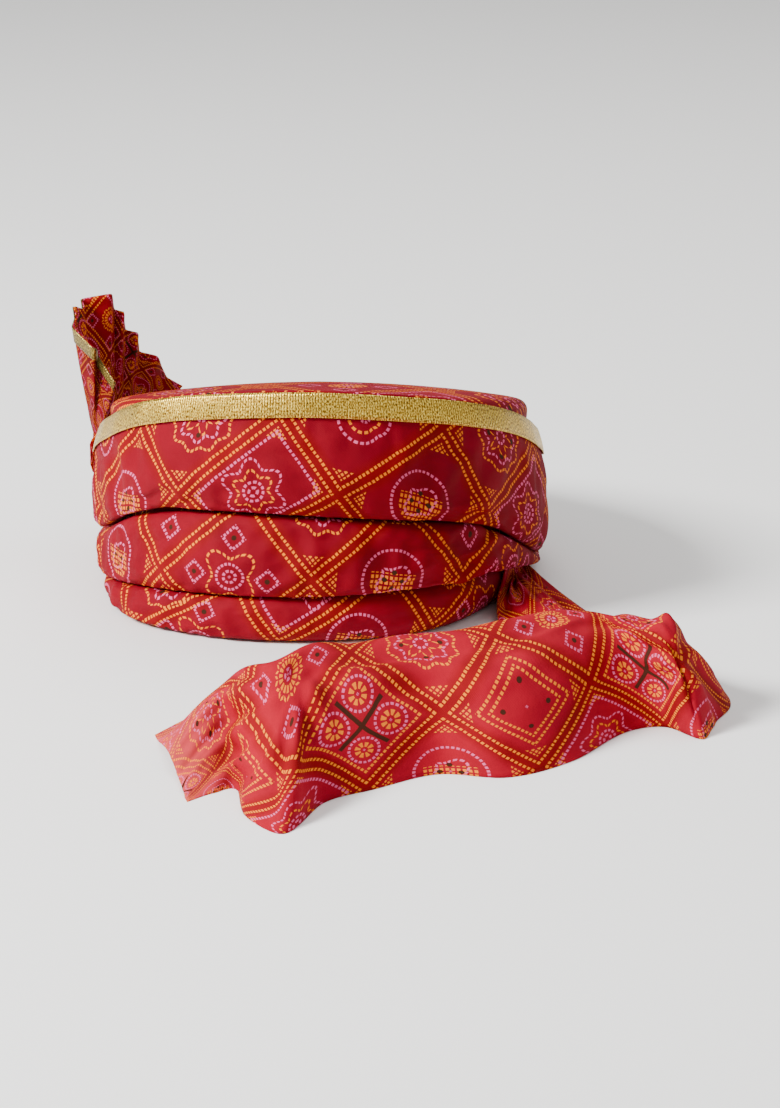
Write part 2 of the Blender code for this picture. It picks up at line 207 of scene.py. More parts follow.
foldEnds = 0.25  # of a fold's height that is left at its ends


# Folds that lie on a cloth, each from one place to another: (along, across, along,
# across, half width, height), with the same unit for all but the height, in mm
def foldLift(along, across, folds):
    lift = np.zeros(len(along))
    here = np.column_stack([along, across])
    for alongStart, acrossStart, alongEnd, acrossEnd, width, height in folds:
        start, end = np.array([alongStart, acrossStart]), np.array([alongEnd, acrossEnd])
        run = end - start
        share = np.clip(((here - start) @ run) / (run @ run), 0, 1)
        away = np.linalg.norm(here - start - share[:, None] * run, axis=1)
        swell = foldEnds + (1 - foldEnds) * np.sin(math.pi * (0.08 + 0.84 * share))
        lift += height * mm * np.exp(-((away / width) ** 2)) * swell
    return lift


def turbanPolar(points):
    x, y = points[:, 0] - turban["x"], points[:, 1] - turban["y"]
    return np.arctan2(x, -y), np.hypot(x, y)


def placeRound(angle, radius, z):
    return np.column_stack([turban["x"] + np.sin(angle) * radius, turban["y"] - np.cos(angle) * radius, z])


# A smooth course from one value to the next, which leaves and arrives at given slopes
def blendSlopes(here, there, slopeHere, slopeThere, t):
    return (
        here * (2 * t**3 - 3 * t**2 + 1) + slopeHere * (t**3 - 2 * t**2 + t)
        + there * (3 * t**2 - 2 * t**3) + slopeThere * (t**3 - t**2)
    )


# Colours are sRGB hex values of the dyed cloth and the gilt thread
def linear(hexColour):
    parts = [int(hexColour[n : n + 2], 16) / 255 for n in (1, 3, 5)]
    return (*[c / 12.92 if c <= 0.04045 else ((c + 0.055) / 1.055) ** 2.4 for c in parts], 1.0)


# Inputs are a list of the first ones in order, or a dictionary
def addNode(tree, kind, inputs=(), operation=None, out=0, **settings):
    node = tree.nodes.new("ShaderNode" + kind)
    if operation:
        node.operation = operation
    for key, value in settings.items():
        setattr(node, key, value)
    for key, value in inputs.items() if isinstance(inputs, dict) else enumerate(inputs):
        if isinstance(value, bpy.types.NodeSocket):
            tree.links.new(value, node.inputs[key])
        else:
            node.inputs[key].default_value = value
    return node.outputs[out]


# The tie-dye print. Each cell of its lattice has a border of tied dots, and a motif of
# rings, squares and spots charted here in millimetres. Rings are (radius, waviness,
# waves, 1 for pink or 0 for yellow), and a plain yellow one has a wider line. A square is
# (distance from the cell's edge, pink or yellow), and inner is that of a second, yellow
# one. Offset moves the rings out into a group of four, and a comb fills the lower half of
# a circle of that radius with rows of dots.
none = (0, 0, 0, 1)  # no ring, only the dot at its middle
motifs = {
    "moon": {
        "rings": [(17.0, 0, 0, 1), (8.2, 2.0, 3, 1), none, none],
        "comb": 12.8,
        "spots": 3.4,
        "corners": 1,
    },
    "star": {
        "rings": [(15.2, 2.5, 6, 1), (9.8, 1.8, 6, 0), (5.2, 0, 0, 1), (2.2, 0, 0, 1)],
        "square": (7.4, 1),
        "corners": 1,
    },
    "mandala": {
        "rings": [(18.4, 1.1, 10, 0), (13.2, 1.4, 8, 1), (8.2, 2.6, 6, 0), (3.4, 0, 0, 1)],
        "spots": 7.6,
        "corners": 1,
    },
    "sunburst": {
        "rings": [(9.6, 0.7, 12, 0), (6.0, 0, 0, 0), (2.2, 0, 0, 1), none],
        "tips": 1,
        "spots": 14.5,
    },
    "rings": {
        "rings": [(8.2, 0, 0, 1), (3.7, 0, 0, 0), none, none],
        "square": (7.6, 0),
        "offset": 10.9,
        "cross": 1,
    },
    "steps": {
        "rings": [none, none, none, none],
        "square": (11.4, 0),
        "inner": 15.6,
        "spots": 8.6,
        "corners": 1,
    },
    "petals": {
        "rings": [(7.2, 0, 0, 1), (3.2, 0, 0, 1), (13.4, 3.4, 4, 0), none],
        "tips": 1,
        "spots": 14.8,
    },
    "leaf": {"rings": [(11.2, 3.6, 1, 1), (6.6, 2.4, 1, 0), (2.6, 0, 0, 1), none], "corners": 1},
}
# What 1 stands for in a chart: millimetres in the rings' and the others', and waves
reach, farReach, mostWaves = 25.0, 50.0, 24.0
printSizes = {
    "pitch": 2.5 * mm,  # from dot to dot
    "lineWidth": 1.5 * mm,
    "plainExtra": 0.75 * mm,  # half of what a plain yellow ring is wider
    "borderInset": 2.5 * mm,
    "dotShare": 0.62,  # of the pitch that a dot takes
    "spotRadius": 1.4 * mm,
    "combTop": 6 * mm,
    "combPitch": (3.6 * mm, 4.4 * mm),  # from row to row, and along a row
    "tipSide": 4.4 * mm,  # half the side of the small squares round the spots
    "tipPitch": 2.1 * mm,
    "crossArm": (1.25 * mm, 18.5 * mm),  # half width, and length from the middle
    "corner": (5.6 * mm, 19 * mm),  # where its dots begin, and both sides' distance summed
    "cornerPitch": 2.3 * mm,
    "warm": (3 * mm, 8 * mm, 0.8),  # where it starts to fade, where it ends, and its most
}


# A chart is a colour ramp without blending: one flat step for each kind of cell
def chartRamp(tree, place, rows):
    output = addNode(tree, "ValToRGB", [place])
    ramp = output.node.color_ramp
    ramp.interpolation = "CONSTANT"
    while len(ramp.elements) < len(rows):
        ramp.elements.new(len(ramp.elements) / len(rows))
    for n, row in enumerate(rows):
        ramp.elements[n].position = n / len(rows)
        ramp.elements[n].color = row
    return output


def tiedDots(tree, along, pitch):
    count = addNode(tree, "Math", [along, pitch], "DIVIDE")
    place = addNode(tree, "Math", [count], "FRACT")
    middle = addNode(tree, "Math", [place, 0.5], "SUBTRACT")
    middle = addNode(tree, "Math", [middle], "ABSOLUTE")
    return addNode(tree, "Math", [middle, printSizes["dotShare"] / 2], "LESS_THAN")


def lineAt(tree, distance, place, width):
    return addNode(tree, "Math", [distance, place, width / 2], "COMPARE")


def tiedRing(tree, radius, turn, chart):
    parts = addNode(tree, "SeparateColor", [chart])
    size, waviness, waves = (parts.node.outputs[n] for n in range(3))
    size = addNode(tree, "Math", [size, reach * mm], "MULTIPLY")
    lobes = addNode(tree, "Math", [waves, mostWaves], "MULTIPLY")
    lobes = addNode(tree, "Math", [lobes], "ROUND")
    swing = addNode(tree, "Math", [turn, lobes], "MULTIPLY")
    swing = addNode(tree, "Math", [swing], "COSINE")
    depth = addNode(tree, "Math", [waviness, reach * mm], "MULTIPLY")
    edge = addNode(tree, "Math", [swing, depth, size], "MULTIPLY_ADD")
    plain = addNode(tree, "Math", [waves, 0.01], "LESS_THAN")
    plain = addNode(tree, "Math", [plain, chart.node.outputs[1]], "GREATER_THAN")
    extra, width = printSizes["plainExtra"], printSizes["lineWidth"]
    half = addNode(tree, "Math", [plain, extra, width / 2], "MULTIPLY_ADD")
    line = addNode(tree, "Math", [radius, edge, half], "COMPARE")
    # A whole number of dots fits the ring, in four alike quarters
    quarter = addNode(tree, "Math", [size, math.pi / 2 / printSizes["pitch"]], "MULTIPLY")
    quarter = addNode(tree, "Math", [quarter], "ROUND")
    quarter = addNode(tree, "Math", [quarter, 1.0], "MAXIMUM")
    step = addNode(tree, "Math", [math.pi / 2, quarter], "DIVIDE")
    return addNode(tree, "Math", [line, tiedDots(tree, turn, step)], "MULTIPLY")


def addMasks(tree, masks):
    total = masks[0]
    for mask in masks[1:]:
        total = addNode(tree, "Math", [total, mask], "MAXIMUM")
    return total


# The masks of the print: yellow dots, pink dots, dark spots, and the share of the ground
# that the border's warmer dye takes
def tieDye(tree, clothPlace, layout):
    cell = layout["cell"]
    place = addNode(
        tree,
        "Mapping",
        [clothPlace, (*layout["origin"], 0), (0, 0, math.radians(layout["turn"])), (*cell, 1)],
        vector_type="TEXTURE",
    )
    number = addNode(tree, "VectorMath", [place], "FLOOR")
    inside = addNode(tree, "VectorMath", [place, number], "SUBTRACT")
    inside = addNode(tree, "VectorMath", [inside, (0.5, 0.5, 0)], "SUBTRACT")
    inside = addNode(tree, "VectorMath", [inside, (*cell, 0)], "MULTIPLY")
    folded = addNode(tree, "VectorMath", [inside], "ABSOLUTE")
    local = addNode(tree, "SeparateXYZ", [inside]).node
    halfCell = (cell[0] / 2, cell[1] / 2, 0)
    fromEdge = addNode(tree, "VectorMath", [halfCell, folded], "SUBTRACT")
    sides = addNode(tree, "SeparateXYZ", [fromEdge]).node
    edge = addNode(tree, "Math", [sides.outputs[0], sides.outputs[1]], "MINIMUM")
    nearX = addNode(tree, "Math", [sides.outputs[0], sides.outputs[1]], "LESS_THAN")
    along = addNode(tree, "Mix", {0: nearX, 2: local.outputs[0], 3: local.outputs[1]})

    # Which motif a cell holds: the rows run across the lattice's two directions
    numbers = addNode(tree, "SeparateXYZ", [number]).node
    row = addNode(tree, "Math", [numbers.outputs[0], numbers.outputs[1]], "ADD")
    row = addNode(tree, "Math", [row, len(layout["rows"])], "FLOORED_MODULO")
    odd = addNode(tree, "Math", [numbers.outputs[0], 2.0], "FLOORED_MODULO")
    kind = addNode(tree, "Math", [row, 2.0, odd], "MULTIPLY_ADD")
    kinds = [motifs[name] for pair in layout["rows"] for name in pair]
    kind = addNode(tree, "Math", [kind, 0.5], "ADD")
    kind = addNode(tree, "Math", [kind, len(kinds)], "DIVIDE")

    squareRows, extraRows = [], []
    for k in kinds:
        inset, isPink = k.get("square", (farReach, 0))
        inner, offset = k.get("inner", farReach), k.get("offset", 0)
        squareRows.append((inset / farReach, inner / farReach, offset / farReach, isPink))
        spots = k.get("spots", farReach) / farReach
        extraRows.append((spots, k.get("cross", 0), k.get("tips", 0), k.get("corners", 0)))
    squares = chartRamp(tree, kind, squareRows)
    squareParts = addNode(tree, "SeparateColor", [squares]).node
    extras = chartRamp(tree, kind, extraRows)
    extraParts = addNode(tree, "SeparateColor", [extras]).node
    combs = chartRamp(tree, kind, [(k.get("comb", 0) / reach, 0, 0, 1) for k in kinds])

    dots = tiedDots(tree, along, printSizes["pitch"])
    border = lineAt(tree, edge, printSizes["borderInset"], printSizes["lineWidth"])
    yellow, pink = [addNode(tree, "Math", [border, dots], "MULTIPLY")], []

    # A mask belongs to the pink dye as far as isPink says, and the rest to the yellow
    def shareOut(mask, isPink):
        pinkPart = addNode(tree, "Math", [mask, isPink], "MULTIPLY")
        yellow.append(addNode(tree, "Math", [mask, pinkPart], "SUBTRACT"))
        pink.append(pinkPart)

    for output, isPink in ((0, squares.node.outputs[1]), (1, 0.0)):
        inset = addNode(tree, "Math", [squareParts.outputs[output], farReach * mm], "MULTIPLY")
        line = lineAt(tree, edge, inset, printSizes["lineWidth"])
        shareOut(addNode(tree, "Math", [line, dots], "MULTIPLY"), isPink)

    # Rings about the middle of the cell, or about four middles
    offset = addNode(tree, "Math", [squareParts.outputs[2], farReach * mm], "MULTIPLY")
    offsets = addNode(tree, "CombineXYZ", [offset, offset])
    about = addNode(tree, "VectorMath", [folded, offsets], "SUBTRACT")
    radius = addNode(tree, "VectorMath", [about], "LENGTH", out=1)
    aboutParts = addNode(tree, "SeparateXYZ", [about]).node
    turn = addNode(tree, "Math", [aboutParts.outputs[1], aboutParts.outputs[0]], "ARCTAN2")
    for rings in zip(*(k["rings"] for k in kinds)):
        chart = chartRamp(tree, kind, [(r[0] / reach, r[1] / reach, r[2] / mostWaves, r[3]) for r in rings])
        shareOut(tiedRing(tree, radius, turn, chart), chart.node.outputs[1])

    # Rows of dots in the lower half of a circle
    comb = addNode(tree, "SeparateColor", [combs])
    comb = addNode(tree, "Math", [comb, reach * mm], "MULTIPLY")
    comb = addNode(tree, "Math", [radius, comb], "LESS_THAN")
    halfWay = addNode(tree, "Math", [local.outputs[0], local.outputs[1]], "ADD")
    lower = addNode(tree, "Math", [halfWay, printSizes["combTop"]], "LESS_THAN")
    combRows = addNode(tree, "Math", [local.outputs[0], local.outputs[1]], "SUBTRACT")
    rowPitch, dotPitch = printSizes["combPitch"]
    for mask in (lower, tiedDots(tree, combRows, rowPitch), tiedDots(tree, halfWay, dotPitch)):
        comb = addNode(tree, "Math", [comb, mask], "MULTIPLY")
    yellow.append(comb)

    # Dark spots in four places, with small tied squares round them in some motifs
    spotPlace = addNode(tree, "Math", [extraParts.outputs[0], farReach * mm], "MULTIPLY")
    spotPlaces = addNode(tree, "CombineXYZ", [spotPlace, spotPlace])
    fromSpot = addNode(tree, "VectorMath", [folded, spotPlaces], "SUBTRACT")
    spotRadius = addNode(tree, "VectorMath", [fromSpot], "LENGTH", out=1)
    dark = [addNode(tree, "Math", [spotRadius, printSizes["spotRadius"]], "LESS_THAN")]
    boxed = addNode(tree, "VectorMath", [fromSpot], "ABSOLUTE")
    boxed = addNode(tree, "SeparateXYZ", [boxed]).node.outputs
    boxDistance = addNode(tree, "Math", [boxed[0], boxed[1]], "MAXIMUM")
    boxAlong = addNode(tree, "Math", [boxed[0], boxed[1]], "MINIMUM")
    tips = lineAt(tree, boxDistance, printSizes["tipSide"], printSizes["lineWidth"])
    for mask in (tiedDots(tree, boxAlong, printSizes["tipPitch"]), extraParts.outputs[2]):
        tips = addNode(tree, "Math", [tips, mask], "MULTIPLY")
    pink.append(tips)

    # A dark cross between four rings
    foldedParts = addNode(tree, "SeparateXYZ", [folded]).node.outputs
    arms = []
    for most, which in zip(printSizes["crossArm"], ("MINIMUM", "MAXIMUM")):
        distance = addNode(tree, "Math", [foldedParts[0], foldedParts[1]], which)
        arms.append(addNode(tree, "Math", [distance, most], "LESS_THAN"))
    cross = addNode(tree, "Math", [arms[0], arms[1]], "MULTIPLY")
    dark.append(addNode(tree, "Math", [cross, extraParts.outputs[1]], "MULTIPLY"))

    # Triangles of dots in the cell's corners
    cornerStart, cornerSum = printSizes["corner"]
    summed = addNode(tree, "Math", [sides.outputs[0], sides.outputs[1]], "ADD")
    triangle = addNode(tree, "Math", [summed, cornerSum], "LESS_THAN")
    insideBorder = addNode(tree, "Math", [edge, cornerStart], "GREATER_THAN")
    dotsAcross = [tiedDots(tree, sides.outputs[n], printSizes["cornerPitch"]) for n in (0, 1)]
    for mask in (insideBorder, *dotsAcross, extras.node.outputs[1]):
        triangle = addNode(tree, "Math", [triangle, mask], "MULTIPLY")
    yellow.append(triangle)

    warmStart, warmEnd, warmShare = printSizes["warm"]
    warm = addNode(tree, "MapRange", [edge, warmStart, warmEnd, warmShare, 0.0])
    return addMasks(tree, yellow), addMasks(tree, pink), addMasks(tree, dark), warm


clothLooks = {
    "ground": "#780016",  # crimson inside the cells
    "warmGround": "#780305",  # redder dye along the borders
    "yellow": "#E87A10",
    "pink": "#DA5C86",
    "dark": "#2E1D0E",
    "dyed": 0.94,  # how far a dot's dye covers the ground
    "threadPitch": 0.9 * mm,  # coarser than the real 0.3 mm, so that it shows at all
    "wobble": (160.0, 0.8),  # turns of the noise in a metre, and how far a dot strays, mm
    "stains": (34.0, 0.82, 1.15),  # noise, and the ground's darkest and lightest share
    "crinkle": (210.0, 3.0),  # noise, and its height beside a thread's
    "pucker": 1.2,  # height of a tied dot beside a thread's
    "bump": (0.35, 0.16 * mm),
    "paleMost": 0.4,
    "settings": {
        "Roughness": 0.7,
        "Sheen Weight": 0.02,
        "Sheen Roughness": 0.4,
        "Sheen Tint": "#FF5A66",
        "Specular IOR Level": 0.08,
    },
}

# The map of a piece's outer shell lies this far up, in metres, where painted shade darkens its dyes
outerShellMapShift = 2.0


def newMaterial(name):
    material = bpy.data.materials.new(name)
    material.use_nodes = True
    tree = material.node_tree
    return material, tree, tree.nodes["Principled BSDF"], addNode(tree, "UVMap", uv_map="cloth")


def addBump(tree, shader, height, strength, distance):
    bump = addNode(tree, "Bump", {"Height": height, "Strength": strength, "Distance": distance})
    tree.links.new(bump, shader.inputs["Normal"])


# Cotton-silk, plain woven and tie-dyed: nearly matt, with only a faint warm sheen, so that
# the eye gets the dyes and the cloth's creases
def makeTieDyeCloth(name, layout):
    material, tree, shader, clothMap = newMaterial(name)
    # Dots tied by hand never lie quite on their line
    scale, stray = clothLooks["wobble"]
    wobble = addNode(tree, "TexNoise", {"Vector": clothMap, "Scale": scale, "Detail": 1.0}, out=1)
    wobble = addNode(tree, "VectorMath", [wobble, (0.5, 0.5, 0.5)], "SUBTRACT")
    wobble = addNode(tree, "VectorMath", {0: wobble, 3: layout.get("wobble", stray) * mm}, "SCALE")
    handMade = addNode(tree, "VectorMath", [clothMap, wobble], "ADD")
    yellow, pink, dark, warm = tieDye(tree, handMade, layout)

    scale, darkest, lightest = clothLooks["stains"]
    stains = {"Vector": clothMap, "Scale": scale, "Detail": 4.0, "Roughness": 0.6}
    stains = addNode(tree, "TexNoise", stains)
    shade = addNode(tree, "MapRange", [stains, 0.3, 0.7, darkest, lightest])
    grounds = [linear(layout.get("ground", clothLooks["ground"])), linear(clothLooks["warmGround"])]
    ground = addNode(tree, "Mix", {0: warm, 6: grounds[0], 7: grounds[1]}, out=2, data_type="RGBA")
    if "paleEnd" in layout:
        (endPlace, startPlace), paleColour = layout["paleEnd"]
        alongCloth = addNode(tree, "SeparateXYZ", [clothMap])
        pale = addNode(tree, "MapRange", [alongCloth, startPlace, endPlace, 0.0, clothLooks["paleMost"]])
        ground = addNode(tree, "Mix", {0: pale, 6: ground, 7: linear(paleColour)}, out=2, data_type="RGBA")
    colour = addNode(tree, "VectorMath", {0: ground, 3: shade}, "SCALE")
    for mask, dye in ((yellow, "yellow"), (pink, "pink"), (dark, "dark")):
        strength = addNode(tree, "Math", [mask, clothLooks["dyed"]], "MULTIPLY")
        dyed = {0: strength, 6: colour, 7: linear(clothLooks[dye])}
        colour = addNode(tree, "Mix", dyed, out=2, data_type="RGBA")
    # Painted shade: where the map lies on the outer shell, the colour is darkened by the layout's share
    if "outerShellShade" in layout:
        mapParts = addNode(tree, "SeparateXYZ", [clothMap]).node
        outerShellDarkening = addNode(tree, "Math", [mapParts.outputs[1], outerShellMapShift / 2], "GREATER_THAN")
        outerShellDarkening = addNode(tree, "MapRange", {0: outerShellDarkening, 3: 1.0, 4: layout["outerShellShade"]})
        colour = addNode(tree, "VectorMath", {0: colour, 3: outerShellDarkening}, "SCALE")
    tree.links.new(colour, shader.inputs["Base Color"])

    # The weave, and the slight pucker that tying leaves at each dot
    threads = 2 * math.pi / clothLooks["threadPitch"]
    turns = addNode(tree, "VectorMath", {0: clothMap, 3: threads}, "SCALE")
    waves = addNode(tree, "VectorMath", [turns], "SINE")
    waveParts = addNode(tree, "SeparateXYZ", [waves]).node
    weave = addNode(tree, "Math", [waveParts.outputs[0], waveParts.outputs[1]], "MULTIPLY")
    scale, share = clothLooks["crinkle"]
    crinkle = addNode(tree, "TexNoise", {"Vector": clothMap, "Scale": scale, "Detail": 3.0})
    height = addNode(tree, "Math", [crinkle, share, weave], "MULTIPLY_ADD")
    puckers = addNode(tree, "Math", [yellow, pink], "MAXIMUM")
    height = addNode(tree, "Math", [puckers, clothLooks["pucker"], height], "MULTIPLY_ADD")
    addBump(tree, shader, height, *clothLooks["bump"])
    for key, value in clothLooks["settings"].items():
        shader.inputs[key].default_value = linear(value) if isinstance(value, str) else value
    return material


giltLooks = {
    "ribs": (1.5 * mm, 0.06),  # pitch, and how much painted shade and light across them change the tone
    # as the ribs: painted shade and light across the threads
    "threads": (0.8 * mm, 0.05),
    "specksAndGlints": (1300.0, 1.1, -0.03),  # noise of the grain and its painted glints, and its share of the tone and its shift
    "stretch": (1.5, 0.6, 1),  # of the specks, which stand upright
    "places": (0.3, 0.48, 0.66),  # of the three tones
    "stitches": "#4A1A10",
    "stitchLine": (1.3 * mm, 0.9 * mm),  # above the foot, and its width
    "stitchPitch": 1.8 * mm,
    "stitched": 0.6,  # how far the line covers the gold
    "ribHeight": 0.6,  # beside a speck's
    "bump": (0.5, 0.25 * mm),
    "rough": (0.26, 0.44),
    "metal": 0.85,
}


# Gilt thread woven over cotton: fine upright ribs with bare metal shine and a stitched
# line below. The tones are those between the threads, partly painted shade, on them, and a painted glint
# where one catches the light.
def makeGiltWeave(name, giltTonesAndGlint):
    material, tree, shader, clothMap = newMaterial(name)
    parts = addNode(tree, "SeparateXYZ", [clothMap]).node
    upright = addNode(tree, "VectorMath", [clothMap, giltLooks["stretch"]], "MULTIPLY")
    scale, share, shift = giltLooks["specksAndGlints"]
    grainAndGlints = addNode(tree, "TexNoise", {"Vector": upright, "Scale": scale, "Detail": 1.0})
    blotches = addNode(tree, "TexNoise", {"Vector": clothMap, "Scale": 60.0, "Detail": 3.0})
    # Painted glints and shade: the specks, ribs and threads lift and lower the tone that picks the gold
    tone = addNode(tree, "Math", [grainAndGlints, share, shift], "MULTIPLY_ADD")
    rows = []
    for output, (pitch, share) in enumerate((giltLooks["ribs"], giltLooks["threads"])):
        turns = addNode(tree, "Math", [parts.outputs[output], 2 * math.pi / pitch], "MULTIPLY")
        rows.append(addNode(tree, "Math", [turns], "SINE"))
        tone = addNode(tree, "Math", [rows[-1], share, tone], "MULTIPLY_ADD")
    gold = addNode(tree, "ValToRGB", [tone])
    ramp = gold.node.color_ramp
    for n, (position, hexColour) in enumerate(zip(giltLooks["places"], giltTonesAndGlint)):
        if n > 1:
            ramp.elements.new(position)
        ramp.elements[n].position = position
        ramp.elements[n].color = linear(hexColour)
    line = lineAt(tree, parts.outputs[1], *giltLooks["stitchLine"])
    stitches = tiedDots(tree, parts.outputs[0], giltLooks["stitchPitch"])
    for mask in (stitches, giltLooks["stitched"]):
        line = addNode(tree, "Math", [line, mask], "MULTIPLY")
    stitched = {0: line, 6: gold, 7: linear(giltLooks["stitches"])}
    colour = addNode(tree, "Mix", stitched, out=2, data_type="RGBA")
    tree.links.new(colour, shader.inputs["Base Color"])
    height = addNode(tree, "Math", [rows[0], giltLooks["ribHeight"], grainAndGlints], "MULTIPLY_ADD")
    addBump(tree, shader, height, *giltLooks["bump"])
    smoothest, roughest = giltLooks["rough"]
    rough = addNode(tree, "MapRange", [blotches, 0.3, 0.7, smoothest, roughest])
    tree.links.new(rough, shader.inputs["Roughness"])
    shader.inputs["Metallic"].default_value = giltLooks["metal"]
    return material


def finishPiece(piece, node, material):
    piece.data.materials.clear()
    piece.data.materials.append(material)
    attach(piece, "root")
    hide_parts(node)


# The gold edging: a woven ribbon sewn on below the upper wrap's top edge
ribbon = {
    "places": 48,  # round the turban, at which the solid's edges are read
    "steps": 384,
    "across": 8,
    "crown": 0.35,  # mm, as the next two
    "wave": 0.18,
    "wall": 0.6,
    "width": 0.0125,  # metres
    # between the threads, partly painted shade; the gold of the threads; a painted glint
    "giltTonesAndGlint": ("#2A1804", "#AA7A18", "#FFDE60"),
}
placeTurn = 360 / ribbon["places"]


# Height and radius of the ribbon's top and of its foot, at each place round the turban
def ribbonLines():
    points = np.array([v.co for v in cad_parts["zari_edge"].data.vertices])
    angle, radius = turbanPolar(points)
    keys = np.round(np.degrees(angle) / placeTurn).astype(int) % ribbon["places"]
    rows = []
    for key in range(ribbon["places"]):
        mine = keys == key
        zs, rs = points[mine][:, 2], radius[mine]
        top, foot = zs > zs.mean(), zs <= zs.mean()
        rows.append((zs[top].max(), rs[top].max(), zs[foot].min(), rs[foot].max()))
    return np.array(rows)


def roundInterp(values, angle):
    place = (np.degrees(angle) / placeTurn) % len(values)
    low = np.floor(place).astype(int)
    t = place - low
    before, here, there, after = (values[(low + k) % len(values)] for k in (-1, 0, 1, 2))
    return blendSlopes(here, there, (there - before) / 2, (after - here) / 2, t)


ribbonRows = ribbonLines()


def belowRibbon(angle, points):
    return roundInterp(ribbonRows[:, 2], angle) - points[:, 2]


# The three wound passes. The ripple is (depth in mm, how quickly it changes across and
# along the wrap). The print's lines rise by the arch's first number, in metres, from the
# place that its second gives, in degrees from the brow, towards the sides. Folds are in
# millimetres of cloth from the brow and of height.
wraps = {
    "upper_wrap": {
        "name": "upperWrap",
        "ripple": (0.9, 26.0, 5.0),
        "arch": (0.042, -6.5),
        "folds": [
            (-128, 50, -62, 77, 3.2, -1.6), (-132, 62, -80, 84, 3.0, 1.3), (-120, 80, -40, 90, 5.0, 1.2),
            (60, 66, 128, 60, 2.6, -1.6), (30, 74, 130, 66, 3.0, 1.2), (75, 80, 135, 72, 2.6, -1.0),
            (-20, 92, 90, 96, 6.0, 1.0), (-60, 104, 40, 108, 5.0, -0.8), (60, 104, 130, 92, 4.0, -1.0),
        ],
        "print": {
            "origin": (-0.0765, 0.0849),
            "turn": 35.75,
            "cell": (0.0728, 0.0512),
            "rows": [("mandala", "leaf"), ("sunburst", "rings"), ("star", "moon")],
        },
    },
    "middle_wrap": {
        "name": "middleWrap",
        "ripple": (1.0, 30.0, 6.0),
        "arch": (0.014, -2.0),
        "folds": [
            (40, 30, 128, 43, 2.4, -1.9), (46, 40, 128, 46, 2.2, 1.5), (50, 50, 128, 49, 2.2, -1.7),
            (58, 58, 126, 52, 2.4, 1.4), (70, 24, 128, 39, 2.4, 1.5), (90, 20, 130, 35, 2.0, -1.6),
            (-128, 40, -70, 55, 3.0, -1.3), (-132, 30, -80, 36, 3.4, 1.2), (-60, 60, 30, 58, 3.0, -1.0),
        ],
        "print": {
            "origin": (-0.0903, 0.0392),
            "turn": 39.5,
            "cell": (0.0669, 0.0576),
            "rows": [("sunburst", "mandala"), ("star", "rings"), ("petals", "moon")],
        },
    },
    "lower_wrap": {
        "name": "lowerWrap",
        "ripple": (0.7, 30.0, 6.0),
        "arch": (0.0, 0.0),
        "folds": [
            (-120, 8, -70, 20, 3.0, 1.0), (-60, 18, 10, 12, 3.0, -0.9), (20, 10, 90, 18, 2.6, -1.0),
            (60, 22, 120, 16, 2.4, 1.0),
        ],
        "print": {
            "origin": (-0.1109, -0.0059),
            "turn": 32.75,
            "cell": (0.0774, 0.0450),
            "rows": [("mandala", "star"), ("rings", "sunburst"), ("petals", "moon")],
        },
    },
}


wrapCloth = {
    "quality": 5,
    "mass": 0.15,
    "stretch": 12,
    "shear": 4,
    "bending": 0.08,
    "damping": 2,
    "pressure": 4.0,
    "slack": 0.05,  # how much longer the cloth is than its form
    "frames": 20,
    "cap": 2.4,  # mm
    "slimmer": 0.7,  # mm that the form gives way beforehand, since the slack fills it again
}


meanRadius = 0.13  # of the turban, so that the creases' size round it is in metres too


def rippleWrap(piece, wrap):
    depth, acrossScale, roundScale = wrap["ripple"]
    points = readPoints(piece)
    angle, radius = turbanPolar(points)
    # Long soft creases that run round the wrap: slow along it, quick across it
    turned = [part * roundScale * meanRadius for part in (np.sin(angle), np.cos(angle))]
    stretched = np.column_stack([*turned, points[:, 2] * acrossScale])
    waves = noiseAt(stretched, 1.0, len(piece.name))
    fine = noiseAt(stretched * (2.3, 2.3, 2.0), 1.0, 5)
    push = (waves + 0.45 * fine) * depth * mm
    push += foldLift(lengthRound(angle) / mm, points[:, 2] / mm, wrap["folds"])
    inset = outlineRadius(angle) - radius
    push -= wrapCloth["slimmer"] * mm * smoothStep(0.006, 0.002, inset)
    # It fades towards the ribbon, the crown and the surface that the cloth rests on
    push *= smoothStep(0.0, 0.008, belowRibbon(angle, points))
    push *= smoothStep(0.022, 0.008, inset) * smoothStep(0.0, 0.006, points[:, 2])
    writePoints(piece, points + readNormals(piece) * push[:, None])


crestPlaces = 72


# Where a wrap stands out furthest, for each angle: its radius and height there
def wrapCrest(angle, radius, height):
    turns = np.degrees(angle) / (360 / crestPlaces)
    keys = np.round(turns).astype(int) % crestPlaces
    crest = np.zeros((crestPlaces, 2))
    for key in range(crestPlaces):
        mine = keys == key
        furthest = radius[mine].max()
        near = radius[mine] > furthest - 0.3 * mm
        crest[key] = furthest, height[mine][near].mean()
    crest = (np.roll(crest, 1, axis=0) + 2 * crest + np.roll(crest, -1, axis=0)) / 4
    low = np.floor(turns).astype(int)
    share = (turns - low)[:, None]
    return (crest[low % crestPlaces] * (1 - share) + crest[(low + 1) % crestPlaces] * share).T


def mapWrap(piece, arch):
    points = readPoints(piece)
    angle, radius = turbanPolar(points)
    crestRadius, crestHeight = wrapCrest(angle, radius, points[:, 2])
    # Cloth that turns in over the top or under the foot goes on past the outer face
    above = points[:, 2] - crestHeight
    up = crestHeight + np.sign(above) * np.hypot(above, np.maximum(crestRadius - radius, 0))
    up += arch[0] * np.sin(angle - math.radians(arch[1])) ** 2
    writeClothMap(piece, lengthRound(angle), up, period=girth)


